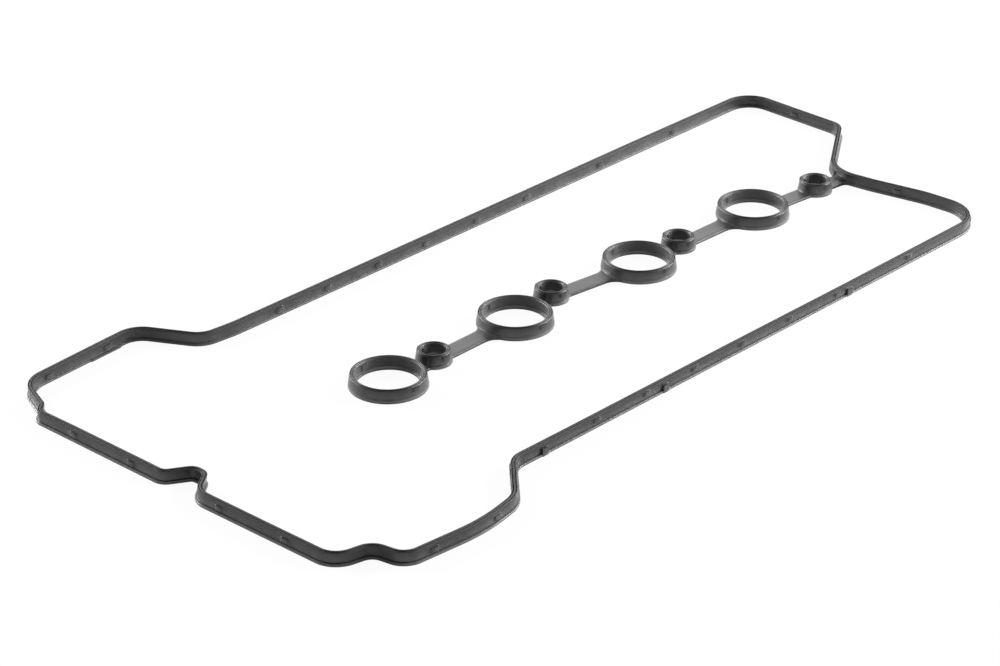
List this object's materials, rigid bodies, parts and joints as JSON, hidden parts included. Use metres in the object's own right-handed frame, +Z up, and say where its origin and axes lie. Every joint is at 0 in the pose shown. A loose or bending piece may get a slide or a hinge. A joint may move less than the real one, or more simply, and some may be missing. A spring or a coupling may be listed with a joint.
{
  "type": "valve cover gasket",
  "caption": "Moulded rubber gasket: a closed outer loop that seals a valve cover, with a row of plug tube and bolt rings inside it joined by flat straps.",
  "frame": {"origin": "on the floor, under the middle of the part's outline seen from above", "axes": "+X along the row of rings, from the wide front end towards the stepped rear end; +Z up, from the base lip to the bead"},
  "size_m": [0.5176, 0.2536, 0.007],
  "materials": {
    "black_rubber": "matte, smooth moulded"
  },
  "bodies": {
    "root": {"gasket": "black_rubber"}
  },
  "joints": []
}
